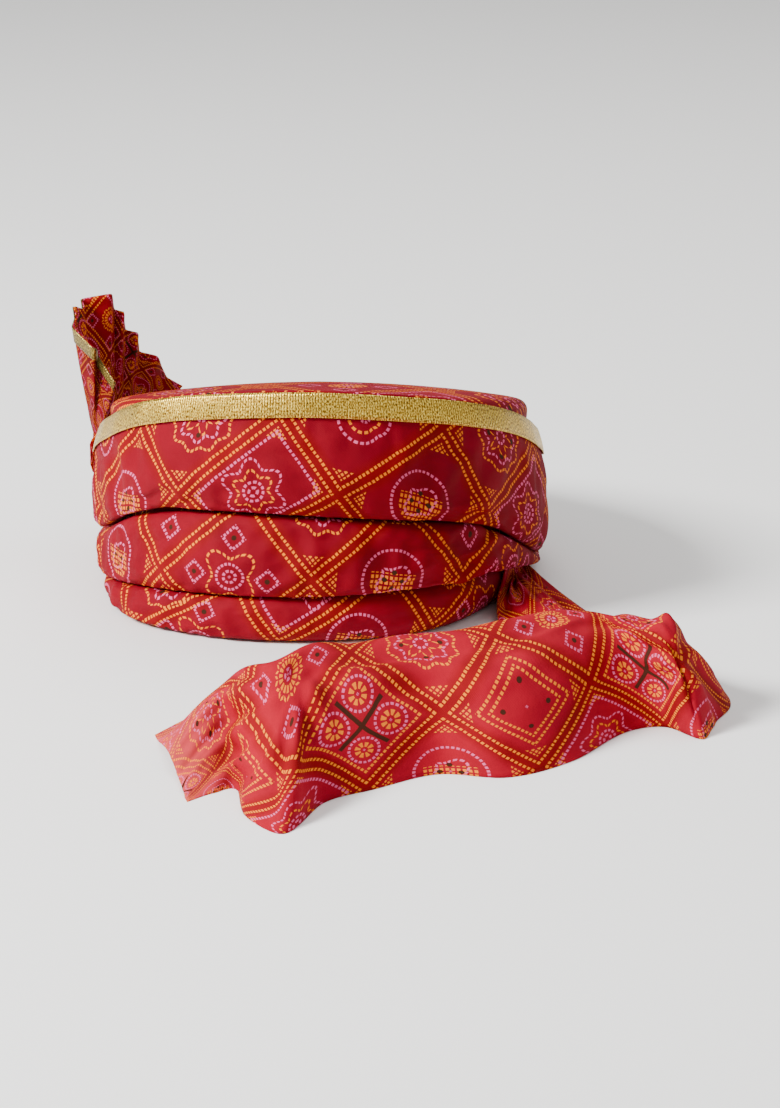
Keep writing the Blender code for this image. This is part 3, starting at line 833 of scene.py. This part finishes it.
for node, wrap in wraps.items():
    piece = softCopy(node, wrap["name"], 2)
    mapWrap(piece, wrap["arch"])
    rippleWrap(piece, wrap)
    wrapPoints = readPoints(piece)
    wrapAngle, wrapRadius = turbanPolar(wrapPoints)
    wrapInset = outlineRadius(wrapAngle) - wrapRadius
    # Held at the seams against its neighbours, at the foot and under the ribbon
    held = np.maximum(smoothStep(0.002, 0.007, wrapInset), smoothStep(0.004, 0.001, wrapPoints[:, 2]))
    held = np.maximum(held, smoothStep(0.007, 0.001, belowRibbon(wrapAngle, wrapPoints)))
    relaxCloth(piece, held, wrapCloth)
    applyModifier(piece, "SUBSURF", levels=1, render_levels=1)
    finishPiece(piece, node, makeTieDyeCloth(f"cottonSilk_{wrap['name']}", wrap["print"]))
print("wraps done")


# The crown: cloth drawn tight over a moulded dome, with faint pulls towards its rim
crown = {
    "pull": 0.5,  # mm
    "print": {
        "origin": (0.012, 0.02),
        "turn": 41.0,
        "cell": (0.064, 0.060),
        "rows": [("sunburst", "mandala"), ("steps", "rings"), ("star", "moon")],
    },
}
crownPiece = softCopy("crown", "crownCloth", 2)
crownPoints = readPoints(crownPiece)
crownAngle, crownRadius = turbanPolar(crownPoints)
crownNormals = readNormals(crownPiece)
onTop = smoothStep(0.3, 0.8, crownNormals[:, 2])
nearRim = smoothStep(0.05, 0.11, crownRadius)
pulls = noiseAt(np.column_stack([np.sin(crownAngle), np.cos(crownAngle), crownRadius * 4]), 7.0, 3)
crownPoints += crownNormals * (pulls * crown["pull"] * mm * onTop * nearRim)[:, None]
crownAlong, crownAcross = crownPoints[:, 0] - turban["x"], crownPoints[:, 1] - turban["y"]
writeClothMap(crownPiece, crownAlong, crownAcross + crownPoints[:, 2])
writePoints(crownPiece, crownPoints)
finishPiece(crownPiece, "crown", makeTieDyeCloth("cottonSilk_crown", crown["print"]))
print("crown done")


def gridPiece(name, stepsAlong, stepsAcross):
    bpy.ops.mesh.primitive_grid_add(x_subdivisions=stepsAlong, y_subdivisions=stepsAcross, size=1)
    piece = bpy.context.object
    piece.name = piece.data.name = name
    flat = readPoints(piece)
    return piece, flat[:, 0] + 0.5, flat[:, 1] + 0.5


def makeRibbon():
    piece, turnShare, up = gridPiece("zariRibbon", ribbon["steps"], ribbon["across"])
    angle = (turnShare - 0.5) * 2 * math.pi
    topZ, topR, footZ, footR = (roundInterp(ribbonRows[:, n], angle) for n in range(4))
    z = footZ + (topZ - footZ) * up
    bulge = 4 * up * (1 - up) * ribbon["crown"] * mm
    sway = np.sin(angle * 31) * np.cos(angle * 7 + 1) * ribbon["wave"] * mm
    radius = footR + (topR - footR) * up + bulge + sway
    writePoints(piece, placeRound(angle, radius, z))
    writeClothMap(piece, lengthRound(angle), up * (topZ - footZ).mean())
    makeActive(piece)
    bpy.ops.object.mode_set(mode="EDIT")
    bpy.ops.mesh.select_all(action="SELECT")
    bpy.ops.mesh.remove_doubles(threshold=0.00001)
    bpy.ops.mesh.normals_make_consistent(inside=False)
    bpy.ops.object.mode_set(mode="OBJECT")
    applyModifier(piece, "SOLIDIFY", thickness=ribbon["wall"] * mm, offset=-1.0)
    piece.data.shade_smooth()
    return piece


ribbonPiece = makeRibbon()
finishPiece(ribbonPiece, "zari_edge", makeGiltWeave("giltWeaveRibbon", ribbon["giltTonesAndGlint"]))
print("ribbon done")


# The fan: the cloth's other end, pleated, pinned outside the upper wrap and edged with
# gold on its outer side. Its creases, from the near end round to the far end: where each
# meets the rim, in millimetres to the right, to the back and up from the turban's middle.
fan = {
    "creases": [
        (-113.1, 22, 101.7), (-125.0, 30, 118.1), (-125.1, 22, 122.4), (-138.2, 38, 130.5),
        (-137.2, 47, 133.6), (-139.1, 58, 137.9), (-134.2, 66, 134.2), (-136.1, 76, 138.2),
        (-119.6, 84, 139.4), (-119.3, 92, 128.2), (-113.2, 87, 127.7), (-113.6, 96, 115.4),
        (-105.7, 91, 114.6), (-106.1, 101, 101.1), (-94.9, 96, 99.7), (-91.2, 107, 84.4),
        (-81.2, 104, 79.7),
    ],
    # The root against the wrap: (right, back, foot, top) at even steps from near to far
    "root": [
        (-126.9, 17.9, 44.6, 70.3), (-124.8, 34.7, 42.7, 67.2), (-121.0, 51.4, 39.2, 64.5),
        (-114.9, 67.7, 38.0, 62.2), (-106.7, 83.4, 37.0, 60.4),
    ],
    "rootShare": 0.22,  # of the fan's height that lies against the wrap
    "flare": 0.6,  # 1 is straight, less opens sooner above the root
    "rootPleat": 2.0,  # mm that the pressed pleats stand off at the root
    "tuck": 7.0,  # mm that the root's foot turns in under the wrap's cloth
    "tuckShare": 0.09,  # of the fan's height that turns in
    "sideways": 0.4,  # how much of these two goes to the back, beside 1 to the right
    "rounding": (-0.09, 0.0, 0.09),  # of a pleat: the places whose mean rounds each fold
    "crease": 0.5,  # mm
    "steps": (8, 30),  # for each pleat, and up
    "wall": 0.5,
    "clothHeight": 0.1,  # metres of cloth from foot to rim
    "freeHeight": 0.075,  # metres of it above the root
    "rimWidth": 9.8,  # mm of the gold edging
    "rimStandOff": 0.85,
    "rimWall": 0.45,
    # between the threads, partly painted shade; the gold of the threads; a painted glint
    "giltTonesAndGlint": ("#1C1606", "#5C4A18", "#A8904A"),
    "flat": (0.085, 0.16),  # metres, up and along the pleats at half their height
    "printScale": 1.5,  # the pressed pleats show their print drawn together
    "print": {
        "ground": "#8E0016",
        # Painted shade: the fan's outer shell, the outside of its pleats, is darkened to half
        "outerShellShade": 0.5,
        "origin": (0.004, 0.012),
        "turn": 42.0,
        "cell": (0.044, 0.044),
        "rows": [("sunburst", "rings"), ("mandala", "star"), ("petals", "moon")],
    },
}
fanCreases = np.array(fan["creases"]) * mm
fanRoot = np.array(fan["root"]) * mm
pleats = len(fanCreases) - 1


def fanSurface(place, up):
    total = np.zeros((len(place), 3))
    rootShare, sideways = fan["rootShare"], fan["sideways"]
    for shift in fan["rounding"]:
        at = np.clip(place + shift, 0, pleats)
        rim = [np.interp(at, np.arange(pleats + 1), column) for column in fanCreases.T]
        rootPlace = at / pleats * (len(fanRoot) - 1)
        root = [np.interp(rootPlace, np.arange(len(fanRoot)), column) for column in fanRoot.T]
        right, backward, foot, top = root
        zigzag = (np.abs(at % 2 - 1) - 0.5) * 2 * fan["rootPleat"] * mm
        tuck = fan["tuck"] * mm * smoothStep(fan["tuckShare"], 0.0, up)
        right, backward = right - zigzag + tuck, backward + zigzag * sideways - tuck * sideways
        free = np.clip((up - rootShare) / (1 - rootShare), 0, 1)
        opened = free ** fan["flare"]
        x = right + (rim[0] - right) * opened
        y = backward + (rim[1] - backward) * opened
        atRoot, above = foot + (top - foot) * up / rootShare, top + (rim[2] - top) * free
        z = np.where(up < rootShare, atRoot, above)
        total += np.column_stack([x + turban["x"], y + turban["y"], z])
    return total / len(fan["rounding"])


# How much cloth lies along the rim up to each place
rimPlaces = np.linspace(0, pleats, pleats * 8 + 1)
rimRun = np.linalg.norm(np.diff(fanSurface(rimPlaces, np.ones(len(rimPlaces))), axis=0), axis=1)
rimLength = np.concatenate([[0], np.cumsum(rimRun)])
print("fan rim length", rimLength[-1])

fanPiece, fanAlong, fanUp = gridPiece("turraFan", pleats * fan["steps"][0], fan["steps"][1])
fanPoints = fanSurface(fanAlong * pleats, fanUp)
writePoints(fanPiece, fanPoints)
creaseWaves = noiseAt(np.column_stack([fanAlong * 40, fanUp * 2, fanUp * 0]), 1.0, 6)
creaseWaves = creaseWaves * fan["crease"] * mm * smoothStep(0.2, 0.5, fanUp)
writePoints(fanPiece, fanPoints + readNormals(fanPiece) * creaseWaves[:, None])
fanCloth = np.interp(fanAlong * pleats, rimPlaces, rimLength)
writeClothMap(fanPiece, fanCloth * fan["printScale"], fanUp * fan["clothHeight"] * fan["printScale"])
fanFaces = len(fanPiece.data.polygons)
applyModifier(fanPiece, "SOLIDIFY", thickness=fan["wall"] * mm, offset=0.0)
# Its second shell, which shows outside, has its map moved up to where painted shade darkens it
fanMap = np.zeros(len(fanPiece.data.loops) * 2)
fanLayer = fanPiece.data.uv_layers["cloth"].data
fanLayer.foreach_get("uv", fanMap)
fanMap[fanFaces * 8 + 1 : fanFaces * 16 : 2] += outerShellMapShift  # four corners a face, two numbers a corner
fanLayer.foreach_set("uv", fanMap)
fanPiece.data.shade_smooth()
finishPiece(fanPiece, "turra_fan", makeTieDyeCloth("cottonSilk_fan", fan["print"]))

trimPiece, trimAlong, trimUp = gridPiece("turraZari", pleats * fan["steps"][0], 5)
trimPlace = trimAlong * pleats
rimUp = 1 - (1 - trimUp) * fan["rimWidth"] * mm / fan["freeHeight"] * (1 - fan["rootShare"])
trimPoints = fanSurface(trimPlace, rimUp)
ahead, behind = (fanSurface(np.clip(trimPlace + step, 0, pleats), rimUp) for step in (0.02, -0.02))
stepUp = fanSurface(trimPlace, rimUp) - fanSurface(trimPlace, rimUp - 0.02)
outward = np.cross(stepUp, ahead - behind)
outward /= np.linalg.norm(outward, axis=1)[:, None]
outward *= np.sign(outward[np.argmin(trimPlace)] @ np.array([0, -1, 0]))
writePoints(trimPiece, trimPoints + outward * fan["rimStandOff"] * mm)
writeClothMap(trimPiece, np.interp(trimPlace, rimPlaces, rimLength), trimUp * fan["rimWidth"] * mm)
applyModifier(trimPiece, "SOLIDIFY", thickness=fan["rimWall"] * mm, offset=0.0)
trimPiece.data.shade_smooth()
finishPiece(trimPiece, "turra_zari", makeGiltWeave("giltWeaveFan", fan["giltTonesAndGlint"]))
print("fan done")


# The tail, from under the middle wrap to its free end. The foot is its outer edge and the
# back its edge towards the turban, as shares of the two reaches from the turban's middle.
# The crests of its two long folds are shares of the rise.
tail = {
    "reachRight": 0.212,  # metres, as the next two
    "reachFront": 0.402,
    "rise": 0.052,
    "wall": 1.0,  # mm
    "root": (92.0, 63.0),  # degrees from the brow, where it leaves
    "rootInset": 0.0150,  # metres
    "rootHeights": (0.0075, 0.0225),  # metres, of its foot and its back
    "drop": 0.20,  # of its length, over which it comes down from the root
    "steps": (300, 96),
    "waves": ((9, 3, 0.9, 2), (34, 9, 0.35, 4)),  # along, across, mm, seed
    "lowest": 0.3,  # mm that its middle surface stays above the floor
    # along, foot right, foot front, back right, back front, front crest, back crest
    "rows": [
        (0.000, 0.552, -0.010, 0.447, 0.222, 0.00, 0.00),
        (0.060, 0.575, 0.035, 0.443, 0.236, 0.02, 0.04),
        (0.130, 0.646, 0.144, 0.434, 0.262, 0.12, 0.20),
        (0.210, 0.750, 0.269, 0.480, 0.318, 0.12, 0.20),
        (0.300, 0.858, 0.378, 0.538, 0.373, 0.22, 0.32),
        (0.390, 0.945, 0.450, 0.557, 0.408, 0.22, 0.42),
        (0.470, 0.986, 0.535, 0.547, 0.428, 0.46, 0.54),
        (0.505, 0.981, 0.580, 0.541, 0.429, 0.64, 0.64),
        (0.540, 0.940, 0.632, 0.533, 0.430, 0.94, 0.82),
        (0.570, 0.900, 0.692, 0.525, 0.430, 0.90, 0.86),
        (0.605, 0.821, 0.646, 0.462, 0.440, 0.78, 0.88),
        (0.640, 0.726, 0.666, 0.425, 0.443, 0.80, 0.92),
        (0.690, 0.594, 0.765, 0.340, 0.448, 0.80, 0.96),
        (0.740, 0.448, 0.821, 0.245, 0.464, 0.78, 0.94),
        (0.790, 0.292, 0.811, 0.151, 0.490, 0.76, 0.92),
        (0.840, 0.151, 0.860, 0.057, 0.515, 0.78, 0.93),
        (0.880, 0.038, 0.905, -0.028, 0.530, 0.76, 0.99),
        (0.910, -0.042, 1.000, -0.094, 0.548, 0.56, 0.96),
        (0.935, -0.127, 0.945, -0.160, 0.560, 0.36, 0.80),
        (0.955, -0.156, 0.861, -0.217, 0.580, 0.24, 0.60),
        (0.975, -0.203, 0.871, -0.274, 0.606, 0.20, 0.44),
        (1.000, -0.259, 0.900, -0.356, 0.675, 0.06, 0.12),
    ],
    # share of the way from foot to back, share of the front crest, share of the back crest
    "section": [
        (0.00, 0.00, 0.00),
        (0.10, 0.55, 0.00),
        (0.25, 1.00, 0.00),
        (0.36, 0.52, 0.46),
        (0.52, 0.00, 1.00),
        (0.72, 0.00, 0.66),
        (0.88, 0.00, 0.22),
        (1.00, 0.00, 0.00),
    ],
    # Lengths of cloth in mm, right along it and across it, as the print shows them
    "clothAlong": [
        (0.0, 500), (0.1, 476), (0.2, 406), (0.3, 357), (0.4, 324), (0.5, 287), (0.55, 250),
        (0.581, 229), (0.604, 206), (0.654, 166), (0.716, 123), (0.781, 82), (0.846, 41),
        (0.901, 0), (0.945, -49), (1.0, -119),
    ],
    "clothAcross": [(0.0, -43), (0.125, 0), (0.44, 41), (0.7, 78), (1.0, 127)],
    # Folds as foldLift reads them, with places along counted 4.5 times, so that they are
    # about as wide either way
    "foldScale": 4.5,
    "folds": [
        (2.59, 0.46, 3.15, 0.30, 0.05, 2.8), (2.9, 0.36, 3.5, 0.34, 0.03, 1.8),
        (3.3, 0.16, 3.9, 0.22, 0.06, -2.2), (2.66, 0.14, 3.2, 0.08, 0.04, -1.8),
        (3.4, 0.30, 3.95, 0.34, 0.025, 1.6), (3.1, 0.24, 3.7, 0.14, 0.03, 1.4),
        (2.53, 0.15, 2.56, 0.15, 0.045, -7.0), (4.02, 0.43, 4.04, 0.43, 0.04, -2.5),
        (0.1, 0.10, 1.2, 0.16, 0.035, 1.4), (0.1, 0.24, 1.3, 0.26, 0.03, -1.5),
        (0.1, 0.40, 1.3, 0.40, 0.03, 1.5),
    ],
    # Folds that spread from one gathered place, beginning a tenth of their way from it: its
    # (along, across), the folds' half width, and where each ends, with its height in mm
    "gathers": [
        ((4.03, 0.43), 0.026, [
            (4.48, 0.80, 1.6), (4.48, 0.62, -2.2), (4.48, 0.46, 2.6), (4.48, 0.31, -2.8), (4.48, 0.17, 2.8),
            (4.46, 0.04, -2.6), (4.38, 0.02, 2.4), (4.30, 0.02, -3.0), (4.20, 0.03, 3.2), (4.13, 0.03, -3.2),
            (4.06, 0.05, 3.0), (3.99, 0.08, -2.6), (3.92, 0.12, 2.2), (3.84, 0.20, -1.6), (3.80, 0.32, 1.2),
        ]),
        ((2.54, 0.15), 0.022, [
            (2.62, 0.36, -1.8), (2.68, 0.29, 2.4), (2.73, 0.22, -2.4), (2.75, 0.15, 2.4), (2.73, 0.08, -2.2),
            (2.67, 0.03, 2.4), (2.58, 0.01, -2.4), (2.45, 0.01, 2.2), (2.32, 0.04, -2.2), (2.25, 0.10, 2.2),
            (2.30, 0.20, -2.0), (2.44, 0.28, 2.0), (2.54, 0.34, 1.6),
        ]),
        ((0.12, 0.66), 0.030, [
            (0.62, 0.97, 2.2), (0.66, 0.88, -2.4), (0.70, 0.79, 2.4), (0.72, 0.70, -2.2), (0.76, 0.60, 2.0),
            (0.80, 0.50, -1.6),
        ]),
    ],
    "flat": (0.15, 0.5),  # metres
    "print": {
        "origin": (0.0, 0.0),
        "turn": 45.0,
        "cell": (0.058, 0.058),
        "rows": [("sunburst", "mandala"), ("moon", "star"), ("rings", "steps")],
        "wobble": 0.6,
        "ground": "#98041F",
        "paleEnd": ((-0.119, -0.06), "#E05A5A"),  # metres of cloth, over which the ground grows paler towards its cut end
    },
}


def smoothTable(rows, places):
    rows = np.array([rows[0], *rows, rows[-1]], float)
    place = np.clip(places, rows[1, 0], rows[-2, 0])
    low = np.clip(np.searchsorted(rows[1:-1, 0], place, side="right"), 1, len(rows) - 3)
    before, here, there, after = rows[low - 1], rows[low], rows[low + 1], rows[low + 2]
    run = there[:, :1] - here[:, :1]
    t = (place[:, None] - here[:, :1]) / run
    slopeHere = (there - before) / np.maximum(there[:, :1] - before[:, :1], 1e-9) * run
    slopeThere = (after - here) / np.maximum(after[:, :1] - here[:, :1], 1e-9) * run
    return blendSlopes(here, there, slopeHere, slopeThere, t)[:, 1:]


def tailSurface(along, across):
    footX, footY, backX, backY, frontCrest, backCrest = smoothTable(tail["rows"], along).T
    frontShare, backShare = smoothTable(tail["section"], across).T
    foot = np.column_stack([footX * tail["reachRight"], -footY * tail["reachFront"]])
    back = np.column_stack([backX * tail["reachRight"], -backY * tail["reachFront"]])
    flat = foot + (back - foot) * across[:, None]
    z = np.maximum(0, frontCrest * frontShare + backCrest * backShare) * tail["rise"]
    placed = np.column_stack([flat + (turban["x"], turban["y"]), z])
    rootAngle = np.radians(tail["root"][0] + (tail["root"][1] - tail["root"][0]) * across)
    rootRadius = outlineRadius(rootAngle) - tail["rootInset"]
    root = placeRound(rootAngle, rootRadius, np.interp(across, (0, 1), tail["rootHeights"]))
    dropped = np.clip(along / tail["drop"], 0, 1)[:, None]
    return root + (placed - root) * dropped


def makeTail():
    piece, along, across = gridPiece("tailSheet", *tail["steps"])
    points = tailSurface(along, across)
    writePoints(piece, points)
    normals = readNormals(piece)
    normals *= np.sign(normals[:, 2].mean())
    folds = list(tail["folds"])
    for apex, width, ends in tail["gathers"]:
        for *end, height in ends:
            start = [here + (there - here) * 0.1 for here, there in zip(apex, end)]
            folds.append((*start, *end, width, height))
    lift = foldLift(along * tail["foldScale"], across, folds)
    for alongScale, acrossScale, depth, seed in tail["waves"]:
        places = np.column_stack([along * alongScale, across * acrossScale, along * 0])
        lift += noiseAt(places, 1.0, seed) * depth * mm
    points = points + normals * lift[:, None]
    points[:, 2] = np.maximum(points[:, 2], tail["lowest"] * mm)
    writePoints(piece, points)
    clothAlong = smoothTable(tail["clothAlong"], along)[:, 0] * mm
    clothAcross = smoothTable(tail["clothAcross"], across)[:, 0] * mm
    writeClothMap(piece, clothAlong, clothAcross)
    applyModifier(piece, "SOLIDIFY", thickness=tail["wall"] * mm, offset=1.0)
    piece.data.shade_smooth()
    return piece


tailPiece = makeTail()
finishPiece(tailPiece, "tail", makeTieDyeCloth("cottonSilk_tail", tail["print"]))
print("tail done")


# A plain pale floor and soft studio light
studio = {
    "floorSize": 12.0,
    "floorColour": "#F4F3F1",
    "key": ((-1.9, -0.9, 1.6), 0.8, 175.0),
    "fill": ((1.6, -1.6, 1.0), 1.4, 5.0),
    "top": ((0.2, 0.9, 2.2), 1.8, 30.0),
    "world": ("#FFFFFF", 0.5),
}
bpy.ops.mesh.primitive_plane_add(size=studio["floorSize"], location=(0, 0, 0))
floor = bpy.context.object
floor.name = "studioFloor"
floorPaint = bpy.data.materials.new("mattPaperFloor")
floorPaint.use_nodes = True
floorShader = floorPaint.node_tree.nodes["Principled BSDF"]
floorShader.inputs["Base Color"].default_value = linear(studio["floorColour"])
floorShader.inputs["Roughness"].default_value = 0.9
floor.data.materials.append(floorPaint)

aim = Vector((0.0, 0.0, 0.05))
for name in ("key", "fill", "top"):
    place, size, power = studio[name]
    lamp = bpy.data.lights.new(name + "Light", "AREA")
    lamp.size = size
    lamp.energy = power
    lampObject = bpy.data.objects.new(name + "Light", lamp)
    lampObject.location = place
    lampObject.rotation_euler = (aim - Vector(place)).to_track_quat("-Z", "Y").to_euler()
    bpy.context.scene.collection.objects.link(lampObject)
world = bpy.data.worlds.new("studioAir")
world.use_nodes = True
bpy.context.scene.world = world
world.node_tree.nodes["Background"].inputs[0].default_value = linear(studio["world"][0])
world.node_tree.nodes["Background"].inputs[1].default_value = studio["world"][1]

# The camera looks down at 17 degrees from two metres, with the image 780 by 1108
camera = {
    "elevation": 17.0,
    "distance": 2.0,
    "focal": 3580.0,  # pixels of the photo
    "imageHeight": 1108.0,
    "target": (0.039, 0.0, 0.0095),  # from the turban's middle
    "sensor": 36.0,
}
cameraData = bpy.data.cameras.new("photoCamera")
cameraObject = bpy.data.objects.new("photoCamera", cameraData)
bpy.context.scene.collection.objects.link(cameraObject)
cameraData.sensor_width = camera["sensor"]
cameraData.lens = camera["focal"] * camera["sensor"] / camera["imageHeight"]
target = Vector(camera["target"]) + Vector((turban["x"], turban["y"], 0))
tilt = math.radians(camera["elevation"])
back = Vector((0, -math.cos(tilt), math.sin(tilt)))
cameraObject.location = target + back * camera["distance"]
cameraObject.rotation_euler = (-back).to_track_quat("-Z", "Y").to_euler()
cameraData.clip_start, cameraData.clip_end = 0.05, 40.0
bpy.context.scene.camera = cameraObject
print("studio done")
